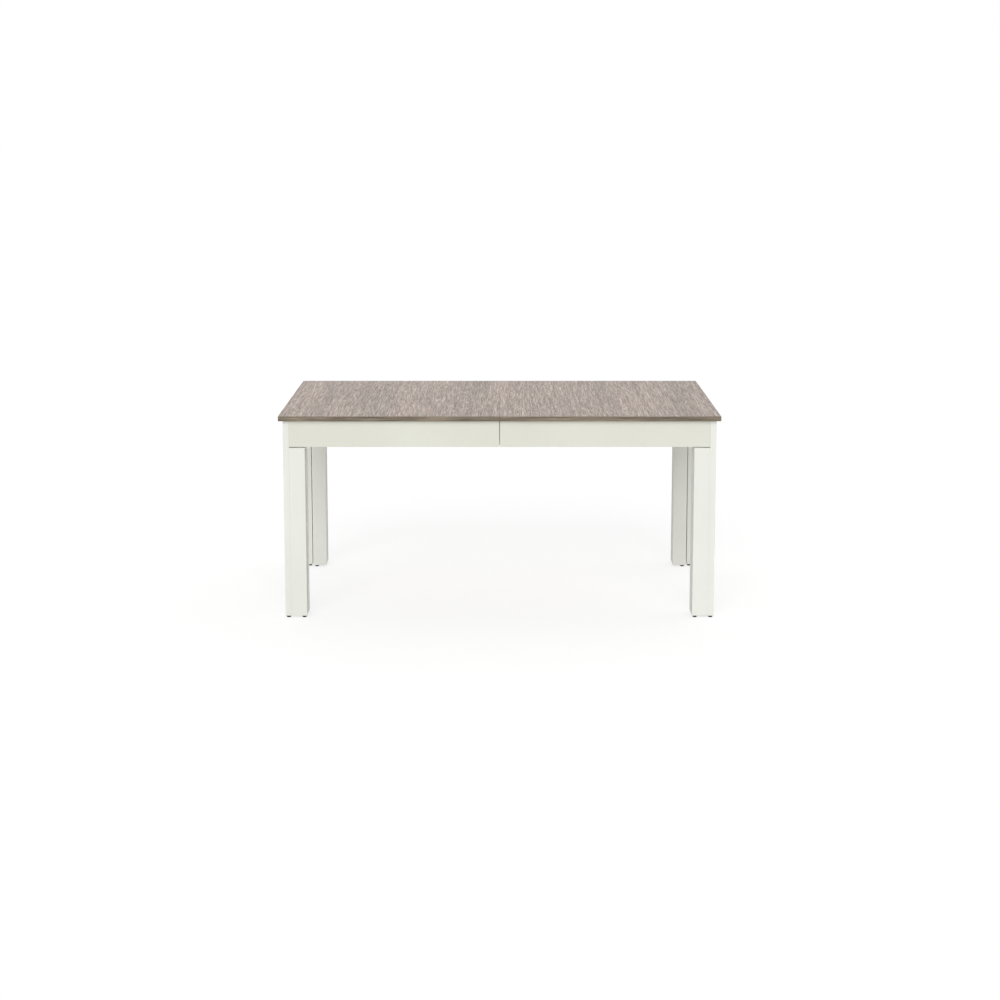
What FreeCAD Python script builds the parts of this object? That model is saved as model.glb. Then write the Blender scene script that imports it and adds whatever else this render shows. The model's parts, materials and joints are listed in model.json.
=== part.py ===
import FreeCAD, Part
import os
from types import SimpleNamespace

import Sketcher

# Extending table, closed: an inner frame stands still on four posts, and two half tables on
# corner legs draw apart along its wooden slides, to make room for three loose leaves.
# Lengths are in millimetres. x runs along the table, y from front to back and z up, and the
# origin is on the floor under the middle of the top.

DRIVING_SIZES = [
    # Whole table
    ("closed_length", 1620),
    ("top_depth", 900),
    ("table_height", 760),
    ("top_thick", 18),
    ("overhang", 15),
    ("top_seam", 0.4),
    ("leaf_width", 460),
    # Aprons and corner legs
    ("board_thick", 22),
    ("apron_height", 98),
    ("apron_seam", 2),
    ("leg_width", 80),
    ("leg_seam", 3),
    # Inner frame
    ("post_gap", 4),
    ("frame_setback", 20),
    ("glide_thick", 1.7),
    ("glide_gap", 0.3),
    ("glide_inset", 4),
    # Slides
    ("core_width", 25),
    ("core_height", 22),
    ("groove_mouth", 8),
    ("groove_floor", 11),
    ("groove_depth", 6),
    ("slide_gap", 0.5),
    ("runner_width", 25),
    ("runner_tail", 480),
    ("runner_end_gap", 8),
    ("runner_relief", 1.5),
    ("runner_side_gap", 1.5),
    ("stop_length", 40),
    ("stop_height", 20),
    ("stop_gap", 1.5),
    # Store for the leaves
    ("leaf_end_gap", 5),
    ("batten_width", 40),
    ("batten_thick", 17),
    # Fixing blocks
    ("block_gap", 2),
    ("block_length", 120),
    # Pins and dowels
    ("pin_diameter", 8),
    ("pin_reach", 12),
    ("pin_seat", 18),
    ("pin_gap", 0.3),
    ("dowel_diameter", 8),
    ("dowel_reach", 26),
    ("dowel_seat", 14),
    ("hole_gap", 0.1),
    # Brackets and screws
    ("bracket_leg", 30),
    ("bracket_thick", 2),
    ("bracket_width", 16),
    ("screw_diameter", 4),
    ("screw_bite", 12),
    ("head_diameter", 8),
    ("head_height", 2.5),
    ("head_sink", 1),
    ("recess_width", 4.6),
    ("recess_slot", 1.2),
    ("recess_depth", 1.5),
    ("runner_bore", 10),
    # Feet
    ("foot_diameter", 16),
    ("foot_height", 7),
    ("foot_bevel", 1.5),
    ("nail_diameter", 3),
    ("nail_length", 14),
    # How far a cut starts outside the piece
    ("overrun", 1),
]

# Places along a piece, as shares of its length
pin_shares = (0.33, 0.78)
dowel_leg_shares = (0.1, 0.5, 0.9)
dowel_apron_shares = (0.3, 0.7)
block_apron_shares = (0.15, 0.5, 0.85)
block_end_share = 0.35
runner_screw_shares = (0.08, 0.5, 0.92)
bracket_screw_share = 0.55
apron_bracket_share = 0.3
rail_bracket_share = 0.6
post_foot_share = 0.27
batten_share = 0.65

leaf_names = ("leaf_lower", "leaf_middle", "leaf_upper")
halves = (("left", -1), ("right", 1))
faces = (("front", -1), ("back", 1))


class Size:
    """A length, kept both as an expression of the sheet's cells and as its number."""

    def __init__(self, text, value):
        self.text = text
        self.value = value

    def __add__(self, other):
        return Size(f"({self.text} + {other.text})", self.value + other.value)

    def __sub__(self, other):
        return Size(f"({self.text} - {other.text})", self.value - other.value)

    def __neg__(self):
        return Size(f"(0 - {self.text})", -self.value)

    def __mul__(self, share):
        return Size(f"({self.text} * {share})", self.value * share)

    def __truediv__(self, parts):
        return Size(f"({self.text} / {parts})", self.value / parts)


doc = FreeCAD.newDocument("extending_table")
sheet = doc.addObject("Spreadsheet::Sheet", "sizes")
for row, (name, number) in enumerate(DRIVING_SIZES, start=1):
    sheet.set(f"A{row}", name)
    sheet.set(f"B{row}", str(number))
    sheet.setAlias(f"B{row}", name)
doc.recompute()

zero = Size("0", 0.0)
size = SimpleNamespace(**{name: Size(f"sizes.{name}", number) for name, number in DRIVING_SIZES})

# Levels above the floor
top_under = size.table_height - size.top_thick
top_middle = top_under + size.top_thick / 2
apron_bottom = top_under - size.apron_height
face_board_top = apron_bottom - size.leg_seam
frame_top = top_under - size.glide_gap - size.glide_thick
rail_top = frame_top - size.core_height
runner_bottom = rail_top + size.slide_gap
batten_top = apron_bottom + size.batten_thick

# Distances from the middle of the table along x
half_length = size.closed_length / 2
half_depth = size.top_depth / 2
top_edge = size.top_seam / 2
apron_edge = size.apron_seam / 2
end_face = half_length - size.overhang
end_inner = end_face - size.board_thick
leg_inner = end_face - size.leg_width
frame_end = end_inner - size.post_gap
post_size = size.leg_width - size.board_thick - size.post_gap
post_inner = frame_end - post_size
rail_inner = frame_end - size.board_thick
cross_inner = half_depth + size.leaf_end_gap
runner_end = end_inner - size.runner_end_gap
travel = size.leaf_width * len(leaf_names) / 2

# Distances from the middle of the table along y
front_face = half_depth - size.overhang
front_inner = front_face - size.board_thick
front_middle = front_face - size.board_thick / 2
leg_rear = front_face - size.leg_width
frame_face = front_inner - size.frame_setback
frame_inner = frame_face - size.board_thick
post_rear = frame_face - post_size
outer_runner_outside = post_rear - size.runner_side_gap
outer_runner_inside = outer_runner_outside - size.runner_width
core_outside = outer_runner_inside - size.slide_gap
core_inside = core_outside - size.core_width
core_middle = core_inside + size.core_width / 2
inner_runner_outside = core_inside - size.slide_gap
inner_runner_inside = inner_runner_outside - size.runner_width

# Sizes that several pieces share
runner_height = top_under - runner_bottom
block_size = size.frame_setback - size.block_gap
pin_radius = size.pin_diameter / 2
socket_radius = pin_radius + size.pin_gap
dowel_radius = size.dowel_diameter / 2
shank_radius = size.screw_diameter / 2
head_radius = size.head_diameter / 2

blanks = {}
holes = {}


def span(sign, low, high):
    """The stretch from low to high, on the positive or on the negative side of the middle."""
    if sign > 0:
        return low, high
    return -high, -low


def at(sign, place):
    """A distance from the middle as a place on its positive or negative side."""
    if sign > 0:
        return place
    return -place


def block(name, x_span, y_span, z_span):
    """A rectangular solid between two places along each axis."""
    solid = doc.addObject("Part::Box", name)
    sides = zip(("Length", "Width", "Height"), "xyz", (x_span, y_span, z_span))
    for side, axis, (low, high) in sides:
        solid.setExpression(side, (high - low).text)
        solid.setExpression(f"Placement.Base.{axis}", low.text)
    return solid


def rod(name, base, direction, steps):
    """A round solid along an axis, in steps of radius at the start, radius at the end and length."""
    turn = FreeCAD.Rotation(FreeCAD.Vector(0, 0, 1), FreeCAD.Vector(*direction))
    pieces = []
    offset = zero
    for start, end, length in steps:
        straight = start is end
        piece = doc.addObject("Part::Cylinder" if straight else "Part::Cone", f"{name}_step")
        piece.Placement = FreeCAD.Placement(FreeCAD.Vector(), turn)
        if straight:
            piece.setExpression("Radius", start.text)
        else:
            piece.setExpression("Radius1", start.text)
            piece.setExpression("Radius2", end.text)
        piece.setExpression("Height", length.text)
        for axis, place, along in zip("xyz", base, direction):
            piece.setExpression(f"Placement.Base.{axis}", (place + offset * along).text)
        pieces.append(piece)
        offset = offset + length
    if len(pieces) == 1:
        return pieces[0]
    joined = doc.addObject("Part::MultiFuse", name)
    joined.Shapes = pieces
    return joined


def group(name, pieces):
    """Separate solids held together as one object."""
    gathered = doc.addObject("Part::Compound", name)
    gathered.Links = pieces
    return gathered


def drill(node, base, direction, radius, depth):
    """A round hole in a node, from a place on its surface along a direction."""
    start = [place - size.overrun * along for place, along in zip(base, direction)]
    tool = rod(f"{node}_hole", start, direction, [(radius, radius, depth + size.overrun)])
    holes.setdefault(node, []).append(tool)


def cross_recess(name, start, direction):
    """The two slots of the cross in a screw's head, sunk from its face along a direction."""
    slots = []
    for slot_axis in [axis for axis in range(3) if not direction[axis]]:
        spans = []
        for axis, (place, along) in enumerate(zip(start, direction)):
            if along:
                depth = span(along, -size.overrun, size.recess_depth)
                spans.append((place + depth[0], place + depth[1]))
            else:
                reach = (size.recess_width if axis == slot_axis else size.recess_slot) / 2
                spans.append((place - reach, place + reach))
        slots.append(block(f"{name}_slot", *spans))
    return slots


def screw(name, base, direction, shank_length):
    """A flat-headed screw with a cross recess, whose head ends at base, where its shank begins."""
    head_start = [place - size.head_height * along for place, along in zip(base, direction)]
    steps = [(head_radius, head_radius, size.head_height), (shank_radius, shank_radius, shank_length)]
    solid = doc.addObject("Part::Cut", name)
    solid.Base = rod(f"{name}_blank", head_start, direction, steps)
    solid.Tool = group(f"{name}_recess", cross_recess(name, head_start, direction))
    return solid


def profile_bar(name, points, length, base, half_turn):
    """A bar along x with a section of straight lines, drawn from its lower corner."""
    body = doc.addObject("PartDesign::Body", name)
    sketch = body.newObject("Sketcher::SketchObject", f"{name}_section")
    planes = {feature.Role: feature for feature in body.Origin.OriginFeatures}
    sketch.AttachmentSupport = (planes["YZ_Plane"], [""])
    sketch.MapMode = "FlatFace"
    corners = [FreeCAD.Vector(along.value, up.value, 0) for along, up in points]
    count = len(corners)
    for index, corner in enumerate(corners):
        sketch.addGeometry(Part.LineSegment(corner, corners[(index + 1) % count]), False)
    for index in range(count):
        sketch.addConstraint(Sketcher.Constraint("Coincident", index, 2, (index + 1) % count, 1))
    for index, point in enumerate(points):
        for kind, place in zip(("DistanceX", "DistanceY"), point):
            rule = Sketcher.Constraint(kind, -1, 1, index, 1, place.value)
            sketch.setExpression(f"Constraints[{sketch.addConstraint(rule)}]", place.text)
    pad = body.newObject("PartDesign::Pad", f"{name}_pad")
    pad.Profile = sketch
    pad.setExpression("Length", length.text)
    turn = FreeCAD.Rotation(FreeCAD.Vector(0, 0, 1), 180 if half_turn else 0)
    body.Placement = FreeCAD.Placement(FreeCAD.Vector(), turn)
    for axis, place in zip("xyz", base):
        body.setExpression(f"Placement.Base.{axis}", place.text)
    return body


def foot_steps():
    """The steps of a plastic glide with a bevelled rim and a nail."""
    radius = size.foot_diameter / 2
    nail_radius = size.nail_diameter / 2
    return [
        (radius - size.foot_bevel, radius, size.foot_bevel),
        (radius, radius, size.foot_height - size.foot_bevel),
        (nail_radius, nail_radius, size.nail_length),
    ]


def foot(node, carrier, x_place, y_place):
    """A foot nailed under its carrier."""
    drill(carrier, (x_place, y_place, size.foot_height), (0, 0, 1),
          size.nail_diameter / 2 + size.hole_gap, size.nail_length + size.hole_gap)
    return rod(node, (x_place, y_place, zero), (0, 0, 1), foot_steps())


def seam_pins(node, carrier, edge, sign, pin_sign, axis, middle_height):
    """Pins out of a meeting edge on one side of its middle, and sockets for pins on the other."""
    pins = []
    for share in pin_shares:
        for role_sign in (pin_sign, -pin_sign):
            along_edge = at(role_sign, half_depth * share)
            start = edge - size.pin_seat * sign
            inward = [0, 0, 0]
            inward[axis] = -sign
            outward = [0, 0, 0]
            outward[axis] = sign
            mouth = [along_edge, along_edge, middle_height]
            mouth[axis] = edge
            seat = list(mouth)
            seat[axis] = start
            if role_sign == pin_sign:
                pin_length = size.pin_seat + size.pin_reach
                pins.append(rod(node, seat, outward, [(pin_radius, pin_radius, pin_length)]))
                drill(carrier, mouth, inward, pin_radius + size.hole_gap, size.pin_seat + size.hole_gap)
            else:
                drill(carrier, mouth, inward, socket_radius, size.pin_reach + size.pin_gap)
    return pins


def corner_dowel(node, first, second, joint, direction, first_depth, second_depth):
    """A dowel across a butt joint, with a hole for it in both boards."""
    backward = [-along for along in direction]
    start = [place - first_depth * along for place, along in zip(joint, direction)]
    radius = dowel_radius + size.hole_gap
    drill(first, joint, backward, radius, first_depth + size.hole_gap)
    drill(second, joint, direction, radius, second_depth + size.hole_gap)
    return rod(node, start, direction, [(dowel_radius, dowel_radius, first_depth + second_depth)])


def bracket(x_sign, y_sign, x_corner, y_corner, middle_height, x_carrier, y_carrier):
    """A steel angle in an inside corner, with a screw into each of the two pieces that meet there."""
    bottom = middle_height - size.bracket_width / 2
    z_span = (bottom, bottom + size.bracket_width)
    x_arm = span(x_sign, x_corner - size.bracket_leg, x_corner)
    y_arm = span(y_sign, y_corner - size.bracket_leg, y_corner)
    x_skin = span(x_sign, x_corner - size.bracket_thick, x_corner)
    y_skin = span(y_sign, y_corner - size.bracket_thick, y_corner)
    angle = doc.addObject("Part::Fuse", "bracket_angle")
    angle.Base = block("bracket_arm", x_arm, y_skin, z_span)
    angle.Tool = block("bracket_arm", x_skin, y_arm, z_span)
    reach = size.bracket_leg * bracket_screw_share
    x_mid = at(x_sign, x_corner - reach)
    y_mid = at(y_sign, y_corner - reach)
    radius = shank_radius + size.hole_gap
    bores = []
    screws = []
    for start, place, direction, carrier in (
        ((x_mid, at(y_sign, y_corner - size.bracket_thick), middle_height),
         (x_mid, at(y_sign, y_corner), middle_height), (0, y_sign, 0), y_carrier),
        ((at(x_sign, x_corner - size.bracket_thick), y_mid, middle_height),
         (at(x_sign, x_corner), y_mid, middle_height), (x_sign, 0, 0), x_carrier),
    ):
        screws.append(screw("frame_screw", start, direction, size.bracket_thick + size.screw_bite))
        bores.append(rod("bracket_bore", start, direction, [(radius, radius, size.bracket_thick)]))
        drill(carrier, place, direction, radius, size.screw_bite + size.hole_gap)
    pierced = doc.addObject("Part::Cut", "bracket")
    pierced.Base = angle
    pierced.Tool = group("bracket_bores", bores)
    return pierced, screws


# Inner frame
frame_brackets = []
frame_screws = []
frame_feet = []
for face, y_sign in faces:
    apron = f"inner_apron_{face}"
    y_apron = span(y_sign, frame_inner, frame_face)
    blanks[apron] = block(apron, (-post_inner, post_inner), y_apron, (apron_bottom, frame_top))
    glide = f"glide_strip_{face}"
    y_glide = span(y_sign, frame_inner + size.glide_inset, frame_face - size.glide_inset)
    z_glide = (frame_top, frame_top + size.glide_thick)
    blanks[glide] = block(glide, (-post_inner, post_inner), y_glide, z_glide)

for end, x_sign in halves:
    rail = f"inner_rail_{end}"
    x_rail = span(x_sign, rail_inner, frame_end)
    blanks[rail] = block(rail, x_rail, (-post_rear, post_rear), (apron_bottom, rail_top))
    cross = f"inner_cross_{end}"
    x_cross = span(x_sign, cross_inner, cross_inner + size.board_thick)
    blanks[cross] = block(cross, x_cross, (-frame_inner, frame_inner), (apron_bottom, rail_top))
    batten = f"leaf_batten_{end}"
    batten_low = half_depth * batten_share - size.batten_width / 2
    x_batten = span(x_sign, batten_low, batten_low + size.batten_width)
    blanks[batten] = block(batten, x_batten, (-frame_inner, frame_inner), (apron_bottom, batten_top))
    for face, y_sign in faces:
        apron = f"inner_apron_{face}"
        post = f"inner_post_{face}_{end}"
        x_post = span(x_sign, post_inner, frame_end)
        y_post = span(y_sign, post_rear, frame_face)
        blanks[post] = block(post, x_post, y_post, (size.foot_height, frame_top))
        for inset in (post_size * post_foot_share, post_size - post_size * post_foot_share):
            x_foot = at(x_sign, frame_end - inset)
            frame_feet.append(foot("inner_post_foot", post, x_foot, at(y_sign, post_rear + inset)))
        for corner in (
            (post_inner, frame_inner, apron_bottom + size.apron_height * apron_bracket_share, post, apron),
            (rail_inner, post_rear, apron_bottom + size.apron_height * rail_bracket_share, rail, post),
            (cross_inner, frame_inner, apron_bottom + size.apron_height * rail_bracket_share, cross, apron),
            (batten_low, frame_inner, apron_bottom + size.batten_thick / 2, batten, apron),
        ):
            angle, screws = bracket(x_sign, y_sign, *corner)
            frame_brackets.append(angle)
            frame_screws.extend(screws)

# Slide cores, with a dovetail groove along each side
core_half = size.core_height / 2
mouth_half = size.groove_mouth / 2
floor_half = size.groove_floor / 2
core_points = [
    (zero, zero),
    (size.core_width, zero),
    (size.core_width, core_half - mouth_half),
    (size.core_width - size.groove_depth, core_half - floor_half),
    (size.core_width - size.groove_depth, core_half + floor_half),
    (size.core_width, core_half + mouth_half),
    (size.core_width, size.core_height),
    (zero, size.core_height),
    (zero, core_half + mouth_half),
    (size.groove_depth, core_half + floor_half),
    (size.groove_depth, core_half - floor_half),
    (zero, core_half - mouth_half),
]
head_depth = size.head_sink + size.head_height
core_shank = size.core_height - head_depth + size.screw_bite
down = (0, 0, -1)
for face, y_sign in faces:
    core = f"slide_core_{face}"
    y_core = span(y_sign, core_inside, core_outside)
    base = (-frame_end, y_core[0], rail_top)
    blanks[core] = profile_bar(core, core_points, frame_end * 2, base, False)
    for end, x_sign in halves:
        for carrier, x_near in ((f"inner_rail_{end}", rail_inner), (f"inner_cross_{end}", cross_inner)):
            x_screw = at(x_sign, x_near + size.board_thick / 2)
            y_screw = at(y_sign, core_middle)
            seat = (x_screw, y_screw, frame_top - head_depth)
            frame_screws.append(screw("frame_screw", seat, down, core_shank))
            core_face = (x_screw, y_screw, frame_top)
            drill(core, core_face, down, head_radius + size.hole_gap, head_depth)
            drill(core, core_face, down, shank_radius + size.hole_gap, size.core_height + size.overrun)
            drill(carrier, (x_screw, y_screw, rail_top), down, shank_radius + size.hole_gap,
                  size.screw_bite + size.hole_gap)

# Fixed stops on the inner aprons: the stop on a runner comes up against its own at full travel
stop_z = (runner_bottom, runner_bottom + size.stop_height)
stop_near = travel - size.runner_tail + size.stop_length + size.slide_gap
for (_, x_sign), (face, y_sign) in zip(halves, faces):
    x_stop = span(x_sign, stop_near, stop_near + size.stop_length)
    y_stop = span(y_sign, outer_runner_outside + size.stop_gap, frame_inner)
    blanks[f"stop_block_{face}"] = block(f"stop_block_{face}", x_stop, y_stop, stop_z)

# Leaves, stored flat on the battens with their long edges along the table
leaf_pins = []
for level, leaf in enumerate(leaf_names):
    bottom = batten_top + size.top_thick * level
    leaf_half = size.leaf_width / 2
    blanks[leaf] = block(leaf, (-half_depth, half_depth), (-leaf_half, leaf_half),
                         (bottom, bottom + size.top_thick))
    for sign in (-1, 1):
        leaf_pins += seam_pins("leaf_pin", leaf, at(sign, leaf_half), sign, -sign, 1,
                               bottom + size.top_thick / 2)

blanks["leaf_pins"] = group("leaf_pins", leaf_pins)
blanks["frame_brackets"] = group("frame_brackets", frame_brackets)
blanks["frame_screws"] = group("frame_screws", frame_screws)
blanks["inner_post_feet"] = group("inner_post_feet", frame_feet)

# Runner section, with a dovetail tongue on its far side
tongue_middle = core_half - size.slide_gap
root_half = mouth_half - size.slide_gap
tip_half = floor_half - size.slide_gap
tongue_tip = size.runner_width + size.groove_depth
runner_points = [
    (zero, zero),
    (size.runner_width, zero),
    (size.runner_width, tongue_middle - root_half),
    (tongue_tip, tongue_middle - tip_half),
    (tongue_tip, tongue_middle + tip_half),
    (size.runner_width, tongue_middle + root_half),
    (size.runner_width, runner_height),
    (zero, runner_height),
]


def runner(half, x_sign, face, y_sign, inside, outside):
    """A runner screwed under a half top, eased where it passes under the other half."""
    node = f"{half}_runner_{face}"
    away_from_tongue = outside if y_sign == x_sign else inside
    base = (at(x_sign, runner_end), at(y_sign, away_from_tongue), runner_bottom)
    blanks[node] = profile_bar(node, runner_points, runner_end + size.runner_tail, base, x_sign > 0)
    relief = block(f"{node}_relief", span(x_sign, -size.runner_tail - size.overrun, top_edge),
                   span(y_sign, inside - size.overrun, outside + size.overrun),
                   (top_under - size.runner_relief, top_under + size.overrun))
    holes.setdefault(node, []).append(relief)
    screws = []
    y_screw = at(y_sign, inside + size.runner_width / 2)
    up = (0, 0, 1)
    for share in runner_screw_shares:
        x_screw = at(x_sign, top_edge + (runner_end - top_edge) * share)
        seat = (x_screw, y_screw, runner_bottom + size.runner_bore)
        shank = runner_height - size.runner_bore + size.screw_bite
        screws.append(screw("runner_screw", seat, up, shank))
        drill(node, (x_screw, y_screw, runner_bottom), up, head_radius + size.hole_gap, size.runner_bore)
        drill(node, (x_screw, y_screw, runner_bottom), up, shank_radius + size.hole_gap,
              runner_height + size.overrun)
        drill(f"{half}_top", (x_screw, y_screw, top_under), up, shank_radius + size.hole_gap,
              size.screw_bite + size.hole_gap)
    return screws


def corner_leg(half, x_sign, face, y_sign, apron):
    """A leg of two upright boards under one corner, with its dowels and feet."""
    side_board = f"{half}_leg_{face}_side"
    face_board = f"{half}_leg_{face}_face"
    blanks[side_board] = block(side_board, span(x_sign, end_inner, end_face),
                               span(y_sign, leg_rear, front_face), (size.foot_height, top_under))
    blanks[face_board] = block(face_board, span(x_sign, leg_inner, end_inner),
                               span(y_sign, front_inner, front_face), (size.foot_height, face_board_top))
    dowels = []
    face_height = face_board_top - size.foot_height
    across = (x_sign, 0, 0)
    for board, low, tall, shares in (
        (face_board, size.foot_height, face_height, dowel_leg_shares),
        (apron, apron_bottom, size.apron_height, dowel_apron_shares),
    ):
        for share in shares:
            joint = (at(x_sign, end_inner), at(y_sign, front_middle), low + tall * share)
            dowels.append(corner_dowel("leg_dowel", board, side_board, joint, across,
                                       size.dowel_reach, size.dowel_seat))
    end_middle = end_face - size.board_thick / 2
    for share in dowel_apron_shares:
        joint = (at(x_sign, end_middle), at(y_sign, leg_rear), apron_bottom + size.apron_height * share)
        dowels.append(corner_dowel("leg_dowel", f"{half}_apron_end", side_board, joint, (0, y_sign, 0),
                                   size.dowel_reach, size.dowel_seat))
    inset = size.board_thick / 2
    feet = []
    for carrier, x_place, y_place in (
        (side_board, end_middle, front_middle),
        (side_board, end_middle, leg_rear + inset),
        (face_board, leg_inner + inset, front_middle),
    ):
        feet.append(foot("leg_foot", carrier, at(x_sign, x_place), at(y_sign, y_place)))
    return dowels, feet


def half_table(half, x_sign):
    """One half of the table that slides: top, aprons, two corner legs and two runners."""
    top = f"{half}_top"
    z_apron = (apron_bottom, top_under)
    blanks[top] = block(top, span(x_sign, top_edge, half_length), (-half_depth, half_depth),
                        (top_under, size.table_height))
    end_apron = f"{half}_apron_end"
    blanks[end_apron] = block(end_apron, span(x_sign, end_inner, end_face), (-leg_rear, leg_rear), z_apron)
    blocks = []
    dowels = []
    feet = []
    z_block = (top_under - block_size, top_under)
    block_half = size.block_length / 2
    for face, y_sign in faces:
        apron = f"{half}_apron_{face}"
        blanks[apron] = block(apron, span(x_sign, apron_edge, end_inner),
                              span(y_sign, front_inner, front_face), z_apron)
        for share in block_apron_shares:
            middle = end_inner * share
            blocks.append(block("fixing_block", span(x_sign, middle - block_half, middle + block_half),
                                span(y_sign, front_inner - block_size, front_inner), z_block))
        middle = leg_rear * block_end_share
        blocks.append(block("fixing_block", span(x_sign, end_inner - block_size, end_inner),
                            span(y_sign, middle - block_half, middle + block_half), z_block))
        leg_dowels, leg_feet = corner_leg(half, x_sign, face, y_sign, apron)
        dowels += leg_dowels
        feet += leg_feet
    outer_face = faces[halves.index((half, x_sign))]
    inner_face = faces[1 - halves.index((half, x_sign))]
    screws = runner(half, x_sign, *outer_face, outer_runner_inside, outer_runner_outside)
    screws += runner(half, x_sign, *inner_face, inner_runner_inside, inner_runner_outside)
    stop = f"{half}_runner_stop"
    blanks[stop] = block(stop, span(x_sign, -size.runner_tail, size.stop_length - size.runner_tail),
                         span(outer_face[1], outer_runner_outside, frame_inner - size.stop_gap), stop_z)
    pins = seam_pins("top_pin", top, at(x_sign, top_edge), -x_sign, -x_sign, 0, top_middle)
    blanks[f"{half}_top_pins"] = group(f"{half}_top_pins", pins)
    blanks[f"{half}_fixing_blocks"] = group(f"{half}_fixing_blocks", blocks)
    blanks[f"{half}_leg_dowels"] = group(f"{half}_leg_dowels", dowels)
    blanks[f"{half}_leg_feet"] = group(f"{half}_leg_feet", feet)
    blanks[f"{half}_runner_screws"] = group(f"{half}_runner_screws", screws)


for half, x_sign in halves:
    half_table(half, x_sign)

# Each piece is its blank less its holes
pieces = {}
for node, blank in blanks.items():
    pieces[node] = blank
    if node in holes:
        blank.Label = f"{node}_blank"
        pieces[node] = doc.addObject("Part::Cut", node)
        pieces[node].Base = blank
        pieces[node].Tool = group(f"{node}_holes", holes[node])
    pieces[node].Label = node
doc.recompute()

failed = [item.Label for item in doc.Objects if {"Invalid", "Error"} & set(item.State)]
failed += [node for node, piece in pieces.items() if piece.Shape.isNull() or not piece.Shape.isValid()]
failed += [node for node, piece in pieces.items() if piece.Label != node]
if failed:
    raise RuntimeError("failed objects: " + ", ".join(failed))

os.makedirs("parts", exist_ok=True)
for node, piece in pieces.items():
    piece.Shape.exportStep(f"parts/{node}.step")
print(len(pieces), "pieces,", sum(len(piece.Shape.Solids) for piece in pieces.values()), "solids")
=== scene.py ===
import json
import math

import bpy
from mathutils import Color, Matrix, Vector


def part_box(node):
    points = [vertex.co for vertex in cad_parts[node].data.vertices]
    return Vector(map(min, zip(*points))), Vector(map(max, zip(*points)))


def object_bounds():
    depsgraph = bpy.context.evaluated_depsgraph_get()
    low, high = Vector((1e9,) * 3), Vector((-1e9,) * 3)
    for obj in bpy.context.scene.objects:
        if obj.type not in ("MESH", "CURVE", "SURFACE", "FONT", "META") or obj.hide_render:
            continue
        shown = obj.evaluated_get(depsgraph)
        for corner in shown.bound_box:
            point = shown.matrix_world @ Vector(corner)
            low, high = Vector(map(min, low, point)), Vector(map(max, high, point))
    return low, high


# Extending table, closed, on a white studio floor. Lengths are in metres.
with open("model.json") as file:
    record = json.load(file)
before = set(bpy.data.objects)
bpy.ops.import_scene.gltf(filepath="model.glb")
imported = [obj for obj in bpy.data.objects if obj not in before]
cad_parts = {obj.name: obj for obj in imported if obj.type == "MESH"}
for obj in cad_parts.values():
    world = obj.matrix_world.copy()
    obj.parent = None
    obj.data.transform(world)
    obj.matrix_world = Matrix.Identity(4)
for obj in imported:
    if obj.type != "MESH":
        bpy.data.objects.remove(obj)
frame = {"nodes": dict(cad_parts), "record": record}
cad_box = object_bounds()
low, high = cad_box
centre = (low + high) / 2

# Camera: its place fits the photograph's perspective, and its lens and sensor are in millimetres
CAMERA_DISTANCE = 6.712
CAMERA_RISE = 1.115
CAMERA_PITCH = math.radians(8.31)
CAMERA_LENS = 67.08
SENSOR_WIDTH = 36.0
LEVEL_TURN = math.radians(90)

# Shift of the view, as shares of its width. The side one brings the middle seam onto one column of pixels.
CAMERA_DROP_SHARE = -0.12
CAMERA_SIDE_SHARE = 0.0004

# Light: colours at the front show about as they are written. Seen from low down, gloss pales the top.
SKY_STRENGTH = 0.42
KEY_STRENGTH = 1.7
KEY_HEIGHT = math.radians(28)
KEY_TURN = math.radians(-6)
KEY_SPREAD = math.radians(50)
FILL_STRENGTH = 1.1
FILL_HEIGHT = math.radians(34)
FILL_TURN = math.radians(160)
FILL_SPREAD = math.radians(110)

# Floor and backdrop: how much light the floor sends back, and how white both look
FLOOR_SIZE = 160.0
FLOOR_DROP = 0.0002
FLOOR_BOUNCE_SHARE = 0.8
FLOOR_SEEN_SHARE = 0.34
FLOOR_GLOW = 0.72
BACKDROP_STRENGTH = 1.0
OPAQUE = 1.0
WHITE = (1.0, 1.0, 1.0, OPAQUE)

# Edges: the finishes whose sharp edges are rounded, and how far
EASED_SLOTS = ("woodgrain_laminate", "white_laminate", "beech")
EDGE_WIDTH = 0.0006
EDGE_SEGMENTS = 2
EDGE_ANGLE = math.radians(40)
WELD_DISTANCE = 0.000001

# Axes, and how squarely a face looks along one to count as facing it
AXIS_NAMES = "xyz"
UP = 2
FACING_LIMIT = 0.7

# Noise: layers of finer noise in a feature, the node's own scale, and the values that noise takes
SMOOTH = 1.0
PLAIN = 2.0
ROUGH = 3.0
CRISP = 4.0
NOISE_SCALE = 1.0
NOISE_MIDDLE = 0.5
WHOLE_SPAN = (0.0, 1.0)
USUAL_SPAN = (0.3, 0.7)

# Places of the sockets by which the mix node takes and gives colours
MIX_FACTOR = 0
MIX_FIRST = 6
MIX_SECOND = 7
MIX_RESULT = 2

# Colours below are written as they show, up to this level, and shades run from dark to pale
FULL_LEVEL = 255


def srgb(colour):
    """A colour written as it shows, as the shader's linear colour."""
    shown = Color([level / FULL_LEVEL for level in colour])
    return (*shown.from_srgb_to_scene_linear(), OPAQUE)


def feed(tree, socket, value):
    """Links another node's output to a socket, or sets the socket itself."""
    if isinstance(value, bpy.types.NodeSocket):
        tree.links.new(value, socket)
    else:
        socket.default_value = value


def add_node(tree, kind, inputs=None, **settings):
    """A node with its settings made and its inputs set or linked."""
    node = tree.nodes.new(kind)
    for name, value in settings.items():
        setattr(node, name, value)
    for socket, value in (inputs or {}).items():
        feed(tree, node.inputs[socket], value)
    return node


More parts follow.
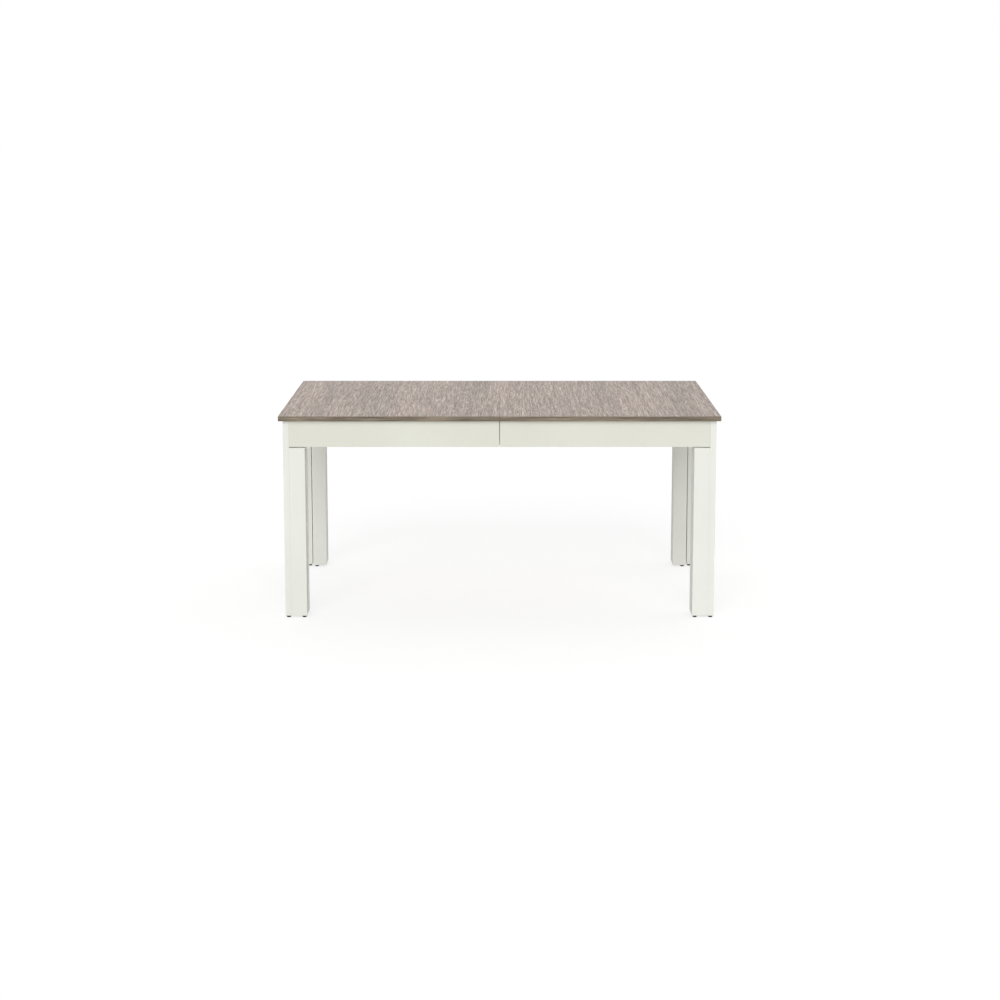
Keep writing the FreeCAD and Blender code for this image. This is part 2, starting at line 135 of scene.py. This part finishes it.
class Finish:
    """A material whose grain runs along an axis, with short calls for the nodes that finishes share."""

    def __init__(self, name, axis):
        self.material = bpy.data.materials.new(name)
        self.material.use_nodes = True
        self.axis = axis
        self.tree = self.material.node_tree
        self.shader = self.tree.nodes["Principled BSDF"]
        self.coordinates = self.add("ShaderNodeTexCoord")

    def add(self, kind, inputs=None, **settings):
        """One more node of the material."""
        return add_node(self.tree, kind, inputs, **settings)

    def give(self, socket, value):
        """Feeds one socket of the shader."""
        feed(self.tree, self.shader.inputs[socket], value)

    def noise(self, cell, detail):
        """Noise with features about as large as cell along x, y and z."""
        count = [1 / length for length in cell]
        place = self.add("ShaderNodeVectorMath", {0: self.coordinates.outputs["Object"], 1: count},
                         operation="MULTIPLY")
        inputs = {"Vector": place.outputs[0], "Scale": NOISE_SCALE, "Detail": detail}
        return self.add("ShaderNodeTexNoise", inputs).outputs["Fac"]

    def speckle(self, size, detail=PLAIN):
        """Noise with round features of a size."""
        return self.noise((size, size, size), detail)

    def grain(self, feature, detail=PLAIN):
        """Noise drawn out along the grain."""
        width, length = feature
        cell = [width, width, width]
        cell[self.axis] = length
        return self.noise(cell, detail)

    def level(self, feature, detail=PLAIN):
        """Noise drawn out level, as on the band along an upright edge."""
        width, length = feature
        return self.noise((length, length, width), detail)

    def maths(self, operation, *values):
        """One step of arithmetic on some values."""
        return self.add("ShaderNodeMath", dict(enumerate(values)), operation=operation).outputs[0]

    def weigh(self, noises, weights):
        """Noises added about their middle, each with its weight."""
        total = NOISE_MIDDLE
        for noise, weight in zip(noises, weights):
            part = self.maths("MULTIPLY_ADD", noise, weight, -weight * NOISE_MIDDLE)
            total = self.maths("ADD", total, part)
        return total

    def shades(self, value, colours, span=WHOLE_SPAN):
        """Colours spread evenly over a span of values."""
        start, end = span
        node = self.add("ShaderNodeValToRGB", {"Fac": value})
        elements = node.color_ramp.elements
        while len(elements) < len(colours):
            elements.new(end)
        step = (end - start) / (len(colours) - 1)
        for index, colour in enumerate(colours):
            elements[index].position = start + step * index
            elements[index].color = srgb(colour)
        return node.outputs["Color"]

    def reach(self, value, span, result):
        """A value stretched from one span to another, and held at its ends."""
        start, end = span
        to_start, to_end = result
        inputs = {"Value": value, "From Min": start, "From Max": end, "To Min": to_start, "To Max": to_end}
        return self.add("ShaderNodeMapRange", inputs).outputs["Result"]

    def mix(self, share, first, second):
        """The second colour laid over the first, as far as the share says."""
        inputs = {MIX_FACTOR: share, MIX_FIRST: first, MIX_SECOND: second}
        return self.add("ShaderNodeMix", inputs, data_type="RGBA").outputs[MIX_RESULT]

    def facing(self, axis):
        """1 on the faces that look along an axis, either way, and 0 on the rest."""
        split = self.add("ShaderNodeSeparateXYZ", {0: self.coordinates.outputs["Normal"]})
        return self.maths("GREATER_THAN", self.maths("ABSOLUTE", split.outputs[axis]), FACING_LIMIT)

    def surface(self, colour, roughness, height, relief):
        """Feeds the shader its colour, roughness and relief."""
        bump = self.add("ShaderNodeBump", {"Height": height, "Distance": relief})
        self.give("Base Color", colour)
        self.give("Roughness", roughness)
        self.give("Normal", bump.outputs["Normal"])


# Features that several finishes share, by their size, and the depth of the finest
CLOUD = 0.25
SPANGLE = 0.004
SKIN = 0.0016
SKIN_RELIEF = 0.00004

# Woodgrain: features by their width across the grain and length along it, and what pores and flecks cover
STREAK = (0.09, 1.4)
FIGURE = (0.13, 1.1)
RING = (0.009, 0.5)
MOTTLE = (0.0032, 0.075)
FIBRE = (0.0014, 0.15)
PORE = (0.0008, 0.012)
PORE_SPAN = (0.58, 0.66)
PORE_SHARES = (0.0, 0.75)
PORE_COLOUR = (104, 90, 81)
FLECK = (0.0018, 0.03)
FLECK_SPAN = (0.6, 0.7)
FLECK_SHARES = (0.0, 0.6)
FLECK_COLOUR = (214, 204, 197)

# Growth rings across the whole range of the figure
FIGURE_RINGS = 26

# Weights of streak, figure, ring, mottle and fibre in the print, and its shades and tint
PRINT_WEIGHTS = (0.2, 0.24, 0.5, 1.2, 1.4)
PRINT_SHADES = ((60, 46, 39), (148, 132, 123), (234, 217, 207))
TINT_SHADES = ((148, 143, 128), (170, 149, 139))
TINT_SPAN = (0.35, 0.65)
TINT_SHARE = 0.25
PRINT_ROUGHNESS = (0.62, 0.5)
PRINT_SPECULAR = 0.3
PRINT_RELIEF = 0.00012

# Edge band of the woodgrain, with the weights of its streak and cloud
BAND_STREAK = (0.0025, 0.07)
BAND_CLOUD = (0.011, 0.16)
BAND_WEIGHTS = (1.0, 1.1)
BAND_SHADES = ((66, 56, 43), (116, 105, 89), (165, 152, 133))


def woodgrain(finish):
    """Matt laminate printed with a grey-brown grain, with a darker band along its edges."""
    streak = finish.grain(STREAK)
    ring = finish.grain(RING, ROUGH)
    mottle = finish.grain(MOTTLE, ROUGH)
    fibre = finish.grain(FIBRE, ROUGH)
    rings = finish.maths("MULTIPLY_ADD", finish.grain(FIGURE), FIGURE_RINGS, mottle)
    figure = finish.maths("FRACT", rings)
    shade = finish.weigh((streak, figure, ring, mottle, fibre), PRINT_WEIGHTS)
    tint = finish.shades(streak, TINT_SHADES, TINT_SPAN)
    tone = finish.mix(TINT_SHARE, finish.shades(shade, PRINT_SHADES), tint)
    pore = finish.reach(finish.grain(PORE), PORE_SPAN, PORE_SHARES)
    tone = finish.mix(pore, tone, srgb(PORE_COLOUR))
    fleck = finish.reach(finish.grain(FLECK), FLECK_SPAN, FLECK_SHARES)
    tone = finish.mix(fleck, tone, srgb(FLECK_COLOUR))
    band = finish.weigh((finish.level(BAND_STREAK, ROUGH), finish.level(BAND_CLOUD)), BAND_WEIGHTS)
    colour = finish.mix(finish.facing(UP), finish.shades(band, BAND_SHADES), tone)
    roughness = finish.reach(fibre, USUAL_SPAN, PRINT_ROUGHNESS)
    finish.give("Specular IOR Level", PRINT_SPECULAR)
    finish.surface(colour, roughness, finish.maths("SUBTRACT", fibre, pore), PRINT_RELIEF)


# White laminate: upright boards are legs and posts; the others, as the aprons, get darker tones, a painted
# shade for the shade under the top
LEG_SHADES = ((230, 231, 223), (236, 237, 230))
# Painted shade: the same laminate as the legs, darkened as if under the top's overhang
APRON_PAINTED_SHADE_TONES = ((219, 219, 206), (225, 226, 214))
SPECK_COLOUR = (205, 205, 195)
SPECK_SHARES = (0.0, 0.06)
WHITE_ROUGHNESS = (0.4, 0.48)

# Chipboard inside the laminate, with the weights of its chips and dust
CHIP = 0.0035
CHIP_DUST = 0.001
CHIP_WEIGHTS = (1.6, 0.8)
CHIP_SHADES = ((92, 68, 44), (168, 132, 92), (222, 190, 146))
CHIP_ROUGHNESS_RISE = 0.4
CHIP_RELIEF = 0.0003


def white_laminate(finish):
    """Matt warm white laminate with a fine pearl texture. Boards that lie level get darker tones, a painted
    shade, and have bare chipboard ends.
    """
    upright = finish.axis == UP
    cloud = finish.speckle(CLOUD, ROUGH)
    skin = finish.speckle(SKIN, SMOOTH)
    # Level boards take the darker apron tones, a painted shade
    colour = finish.shades(cloud, LEG_SHADES if upright else APRON_PAINTED_SHADE_TONES, USUAL_SPAN)
    colour = finish.mix(finish.reach(skin, USUAL_SPAN, SPECK_SHARES), colour, srgb(SPECK_COLOUR))
    roughness = finish.reach(cloud, USUAL_SPAN, WHITE_ROUGHNESS)
    height = skin
    if not upright:
        chip = finish.weigh((finish.speckle(CHIP, ROUGH), finish.speckle(CHIP_DUST)), CHIP_WEIGHTS)
        end = finish.facing(finish.axis)
        colour = finish.mix(end, colour, finish.shades(chip, CHIP_SHADES))
        roughness = finish.maths("MULTIPLY_ADD", end, CHIP_ROUGHNESS_RISE, roughness)
        coarse = finish.maths("MULTIPLY", end, chip)
        height = finish.maths("MULTIPLY_ADD", coarse, CHIP_RELIEF / SKIN_RELIEF, skin)
    finish.surface(colour, roughness, height, SKIN_RELIEF)


# Beech: features as in the woodgrain, with the weights of tone and fibre
BEECH_TONE = (0.014, 0.28)
BEECH_FIBRE = (0.0013, 0.06)
BEECH_WEIGHTS = (1.0, 0.6)
BEECH_SHADES = ((190, 148, 108), (212, 176, 136), (232, 204, 169))
BEECH_FLECK = (0.0008, 0.006)
BEECH_FLECK_SPAN = (0.62, 0.7)
BEECH_FLECK_SHARES = (0.0, 0.55)
BEECH_FLECK_COLOUR = (158, 112, 76)
BEECH_ROUGHNESS = (0.6, 0.5)
BEECH_RELIEF = 0.0001


def beech(finish):
    """Bare planed beech with its small dark flecks."""
    fibre = finish.grain(BEECH_FIBRE)
    shade = finish.weigh((finish.grain(BEECH_TONE, ROUGH), fibre), BEECH_WEIGHTS)
    fleck = finish.reach(finish.grain(BEECH_FLECK), BEECH_FLECK_SPAN, BEECH_FLECK_SHARES)
    colour = finish.mix(fleck, finish.shades(shade, BEECH_SHADES), srgb(BEECH_FLECK_COLOUR))
    roughness = finish.reach(fibre, USUAL_SPAN, BEECH_ROUGHNESS)
    finish.surface(colour, roughness, finish.maths("SUBTRACT", fibre, fleck), BEECH_RELIEF)


# Zinc-plated steel
ZINC_SHADES = ((170, 174, 178), (214, 215, 214))
ZINC_ROUGHNESS = (0.42, 0.26)
ALL_METAL = 1.0


def zinc_steel(finish):
    """Zinc-plated steel with a faint spangle."""
    spangle = finish.speckle(SPANGLE, CRISP)
    colour = finish.shades(spangle, ZINC_SHADES, USUAL_SPAN)
    roughness = finish.reach(spangle, USUAL_SPAN, ZINC_ROUGHNESS)
    finish.give("Metallic", ALL_METAL)
    finish.surface(colour, roughness, finish.speckle(SKIN, SMOOTH), SKIN_RELIEF)


# Black plastic
BLACK_SHADES = ((24, 24, 25), (46, 46, 46))
BLACK_ROUGHNESS = (0.5, 0.38)


def black_plastic(finish):
    """Black moulded plastic with a fine spark-eroded texture."""
    spangle = finish.speckle(SPANGLE)
    colour = finish.shades(spangle, BLACK_SHADES, USUAL_SPAN)
    roughness = finish.reach(spangle, USUAL_SPAN, BLACK_ROUGHNESS)
    finish.surface(colour, roughness, finish.speckle(SKIN, SMOOTH), SKIN_RELIEF)


# Nylon, with scuffs by their width and length
NYLON_SHADES = ((224, 221, 210), (236, 234, 224))
NYLON_ROUGHNESS = (0.3, 0.5)
NYLON_ROUGHNESS_SPAN = (0.4, 0.7)
SCUFF = (0.001, 0.09)
SCUFF_SPAN = (0.55, 0.7)
SCUFF_SHARES = (0.0, 0.35)
SCUFF_COLOUR = (204, 200, 188)


def nylon(finish):
    """Off-white nylon strip, lightly scuffed along its length."""
    scuff = finish.grain(SCUFF)
    colour = finish.shades(finish.speckle(CLOUD), NYLON_SHADES, USUAL_SPAN)
    colour = finish.mix(finish.reach(scuff, SCUFF_SPAN, SCUFF_SHARES), colour, srgb(SCUFF_COLOUR))
    roughness = finish.reach(scuff, NYLON_ROUGHNESS_SPAN, NYLON_ROUGHNESS)
    finish.surface(colour, roughness, scuff, SKIN_RELIEF)


FINISHES = {
    "woodgrain_laminate": woodgrain,
    "white_laminate": white_laminate,
    "beech": beech,
    "zinc_steel": zinc_steel,
    "black_plastic": black_plastic,
    "nylon": nylon,
}


def long_axis(node):
    """The axis along which a node is longest."""
    start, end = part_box(node)
    sides = list(end - start)
    return sides.index(max(sides))


def ease_edges(piece):
    """Joins the faces of a piece along their edges, and rounds the sharp ones."""
    weld = piece.modifiers.new("joined_faces", "WELD")
    weld.merge_threshold = WELD_DISTANCE
    easing = piece.modifiers.new("eased_edges", "BEVEL")
    easing.width = EDGE_WIDTH
    easing.segments = EDGE_SEGMENTS
    easing.limit_method = "ANGLE"
    easing.angle_limit = EDGE_ANGLE
    easing.use_clamp_overlap = False
    easing.loop_slide = False
    easing.harden_normals = True


def dress():
    """Gives each CAD node its finish, with the grain along it, and eases the sharp edges of the laminate and
    beech pieces.
    """
    made = {}
    for part in frame["record"]["subparts"]:
        node = part["node"]
        slot = part["material_slot"]
        axis = long_axis(node)
        name = f"{slot}_{AXIS_NAMES[axis]}"
        if name not in made:
            finish = Finish(name, axis)
            FINISHES[slot](finish)
            made[name] = finish.material
        piece = frame["nodes"][node]
        piece.data.materials.clear()
        piece.data.materials.append(made[name])
        if slot in EASED_SLOTS:
            ease_edges(piece)


def seen_directly(tree):
    """1 on rays that show a surface to the camera, straight or in gloss or glass."""
    path = add_node(tree, "ShaderNodeLightPath")
    seen = path.outputs["Is Camera Ray"]
    for name in ("Is Glossy Ray", "Is Transmission Ray"):
        either = add_node(tree, "ShaderNodeMath", {0: seen, 1: path.outputs[name]}, operation="MAXIMUM")
        seen = either.outputs[0]
    return seen


def mix_shaders(tree, share, first, second):
    """The first node's shader where the share is 0, and the second's where it is 1."""
    return add_node(tree, "ShaderNodeMixShader", {0: share, 1: first.outputs[0], 2: second.outputs[0]})


def diffuse(tree, share):
    """A matt grey shader that sends back a share of the light."""
    return add_node(tree, "ShaderNodeBsdfDiffuse", {"Color": (share, share, share, OPAQUE)})


def make_world():
    """A white studio that lights the object evenly."""
    world = bpy.data.worlds.new("studio")
    bpy.context.scene.world = world
    world.use_nodes = True
    tree = world.node_tree
    light = tree.nodes["Background"]
    feed(tree, light.inputs["Color"], WHITE)
    feed(tree, light.inputs["Strength"], SKY_STRENGTH)
    backdrop = add_node(tree, "ShaderNodeBackground", {"Color": WHITE, "Strength": BACKDROP_STRENGTH})
    studio = mix_shaders(tree, seen_directly(tree), light, backdrop)
    feed(tree, tree.nodes["World Output"].inputs["Surface"], studio.outputs[0])


def make_floor():
    """A white floor that shows the object's shadow, and is clear from below."""
    bpy.ops.mesh.primitive_plane_add(size=FLOOR_SIZE, location=(centre.x, centre.y, low.z - FLOOR_DROP))
    floor = bpy.context.object
    floor.name = "floor"
    material = bpy.data.materials.new("floor_white")
    material.use_nodes = True
    tree = material.node_tree
    tree.nodes.remove(tree.nodes["Principled BSDF"])
    shaded = diffuse(tree, FLOOR_SEEN_SHARE)
    glow = add_node(tree, "ShaderNodeEmission", {"Strength": FLOOR_GLOW})
    shown = add_node(tree, "ShaderNodeAddShader", {0: shaded.outputs[0], 1: glow.outputs[0]})
    above = mix_shaders(tree, seen_directly(tree), diffuse(tree, FLOOR_BOUNCE_SHARE), shown)
    below = add_node(tree, "ShaderNodeBsdfTransparent")
    side = add_node(tree, "ShaderNodeNewGeometry")
    sheet = mix_shaders(tree, side.outputs["Backfacing"], above, below)
    feed(tree, tree.nodes["Material Output"].inputs["Surface"], sheet.outputs[0])
    floor.data.materials.append(material)


def make_light(name, strength, spread, height, turn):
    """A broad soft light at an angle above the floor, turned from the front about the table."""
    lamp = bpy.data.lights.new(name, "SUN")
    lamp.energy = strength
    lamp.angle = spread
    light = bpy.data.objects.new(name, lamp)
    bpy.context.scene.collection.objects.link(light)
    level = math.cos(height)
    towards = Vector((math.sin(turn) * level, -math.cos(turn) * level, math.sin(height)))
    light.rotation_mode = "QUATERNION"
    light.rotation_quaternion = towards.to_track_quat("Z", "Y")


def make_camera():
    """The photograph's view: from the front, a little above the top."""
    lens = bpy.data.cameras.new("camera")
    lens.sensor_width = SENSOR_WIDTH
    lens.lens = CAMERA_LENS
    lens.shift_x = CAMERA_SIDE_SHARE
    lens.shift_y = CAMERA_DROP_SHARE
    camera = bpy.data.objects.new("camera", lens)
    bpy.context.scene.collection.objects.link(camera)
    camera.location = (centre.x, low.y - CAMERA_DISTANCE, high.z + CAMERA_RISE)
    camera.rotation_euler = (LEVEL_TURN - CAMERA_PITCH, 0, 0)
    bpy.context.scene.camera = camera


dress()
make_world()
make_floor()
make_light("key", KEY_STRENGTH, KEY_SPREAD, KEY_HEIGHT, KEY_TURN)
make_light("fill", FILL_STRENGTH, FILL_SPREAD, FILL_HEIGHT, FILL_TURN)
make_camera()
bpy.context.scene.view_settings.view_transform = "Standard"
